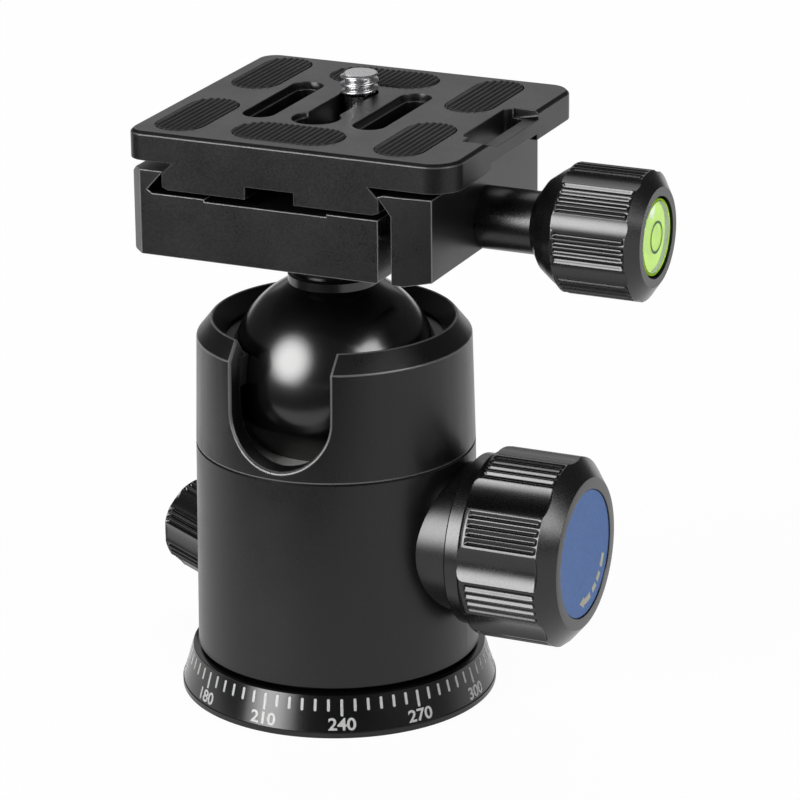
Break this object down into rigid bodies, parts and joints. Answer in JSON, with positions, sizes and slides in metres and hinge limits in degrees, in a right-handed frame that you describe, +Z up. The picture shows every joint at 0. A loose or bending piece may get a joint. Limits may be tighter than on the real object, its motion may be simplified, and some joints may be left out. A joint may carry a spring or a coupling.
{
  "type": "tripod ball head",
  "caption": "Tripod ball head: panning base with degree dial, notched housing with black ball, ribbed locking knobs, and a screw clamp that holds a slotted dovetail plate",
  "frame": {"origin": "centre of the base's flat underside, on the axis of its tripod thread", "axes": "+Z up along the panning axis, +X towards the main locking knob and the clamp knob, -Y towards the U notch that the stem drops into"},
  "size_m": [0.0981, 0.0565, 0.1028],
  "materials": {
    "anodised_black": "satin black anodised",
    "dial_black": "glossy black anodised with white filled marks",
    "steel": "bright turned steel",
    "white_polymer": "low-friction white plastic",
    "plain_aluminium": "machined",
    "black_steel": "black oxide",
    "brass_shoe": "machined brass",
    "knob_black": "black anodised, ribbed",
    "cup_polymer": "pale bearing plastic",
    "blue_disc": "satin blue anodised",
    "ball_black": "polished black hard anodised",
    "stem_black": "blackened steel",
    "clamp_black": "fine blasted black anodised",
    "spring_steel": "drawn wire",
    "gloss_black": "gloss black",
    "level_white": "moulded",
    "level_green": "clear lime liquid",
    "level_air": "air",
    "level_lens": "clear",
    "plate_grey": "fine blasted dark grey anodised",
    "pad_rubber": "ribbed rubber"
  },
  "bodies": {
    "base": {"base_disc": "anodised_black", "dial_ring": "dial_black", "thread_bushing": "steel", "thrust_washers": "white_polymer", "pan_drum": "plain_aluminium", "drum_screws": "steel"},
    "pan_body": {"lower_body": "anodised_black", "upper_housing": "anodised_black", "housing_set_screw": "black_steel", "upper_seat_ring": "white_polymer", "floor_plate": "plain_aluminium", "knob_collar": "anodised_black", "pan_bush": "anodised_black"},
    "brake_shoe": {"pan_brake_shoe": "brass_shoe"},
    "pan_knob": {"pan_screw": "steel", "pan_knob_grip": "knob_black"},
    "wedge": {"pressure_wedge": "brass_shoe"},
    "main_knob": {"main_screw": "steel", "main_knob_hub": "knob_black", "main_knob_grip": "knob_black", "main_knob_disc": "blue_disc"},
    "cup": {"ball_cup": "cup_polymer"},
    "tilt_pin": {"stem_lock_pin": "steel"},
    "ball": {"ball": "ball_black", "ball_stem": "stem_black"},
    "clamp": {"clamp_base": "clamp_black", "clamp_bolt": "black_steel", "jaw_guide_pins": "steel", "jaw_springs": "spring_steel"},
    "jaw": {"movable_jaw": "clamp_black"},
    "clamp_knob": {"clamp_screw": "steel", "clamp_knob_sleeve": "gloss_black", "clamp_knob_core": "gloss_black", "clamp_knob_grip": "knob_black", "level_cup": "level_white", "level_liquid": "level_green", "level_bubble": "level_air", "level_lens": "level_lens"},
    "plate": {"plate": "plate_grey", "corner_pads": "pad_rubber", "centre_pads": "pad_rubber"},
    "screw_slider": {"camera_washer": "white_polymer"},
    "camera_screw": {"camera_screw": "steel"}
  },
  "joints": [
    {"name": "pan", "type": "hinge", "parent": "base", "child": "pan_body", "pos_m": [0, 0, 0.012], "axis": [0, 0, 1], "continuous": true},
    {"name": "pan_brake_travel", "type": "slide", "parent": "pan_body", "child": "brake_shoe", "axis": [-0.8554, 0.518, 0], "range_m": [0, 0.0006]},
    {"name": "pan_knob_turn", "type": "hinge", "parent": "brake_shoe", "child": "pan_knob", "pos_m": [0, 0, 0.0147], "axis": [-0.8554, 0.518, 0], "range_deg": [0, 270]},
    {"name": "wedge_travel", "type": "slide", "parent": "pan_body", "child": "wedge", "axis": [1, 0, 0], "range_m": [0, 0.0009375]},
    {"name": "main_knob_turn", "type": "hinge", "parent": "wedge", "child": "main_knob", "pos_m": [0, 0, 0.029], "axis": [1, 0, 0], "range_deg": [0, 270]},
    {"name": "cup_travel", "type": "slide", "parent": "pan_body", "child": "cup", "axis": [0, 0, 1], "range_m": [-0.00026, 0]},
    {"name": "side_tilt", "type": "hinge", "parent": "pan_body", "child": "tilt_pin", "pos_m": [0, 0, 0.055], "axis": [0, 1, 0], "range_deg": [-32, 32]},
    {"name": "front_tilt", "type": "hinge", "parent": "tilt_pin", "child": "ball", "pos_m": [0, 0, 0.055], "axis": [1, 0, 0], "range_deg": [-32, 90]},
    {"name": "swivel", "type": "hinge", "parent": "ball", "child": "clamp", "pos_m": [0, 0, 0.0787], "axis": [0, 0, 1], "continuous": true},
    {"name": "jaw_travel", "type": "slide", "parent": "clamp", "child": "jaw", "axis": [1, 0, 0], "range_m": [0, 0.003], "deforming": ["jaw_springs"]},
    {"name": "clamp_knob_turn", "type": "hinge", "parent": "jaw", "child": "clamp_knob", "pos_m": [0, 0, 0.08475], "axis": [1, 0, 0], "range_deg": [0, 1080]},
    {"name": "plate_slide", "type": "slide", "parent": "clamp", "child": "plate", "axis": [0, 1, 0], "range_m": [-0.01, 0.01]},
    {"name": "screw_slide", "type": "slide", "parent": "plate", "child": "screw_slider", "axis": [0, 1, 0], "range_m": [-0.014, 0]},
    {"name": "camera_screw_turn", "type": "hinge", "parent": "screw_slider", "child": "camera_screw", "pos_m": [-0.0007, 0.0125, 0.0994], "axis": [0, 0, 1], "continuous": true}
  ],
  "couplings": [
    {"joint": "pan_knob_turn", "follows": "pan_brake_travel", "rad_per_m": 7854},
    {"joint": "main_knob_turn", "follows": "wedge_travel", "rad_per_m": 5026.5},
    {"joint": "cup_travel", "follows": "wedge_travel", "ratio": -0.26795},
    {"joint": "clamp_knob_turn", "follows": "jaw_travel", "rad_per_m": 6283.2}
  ]
}
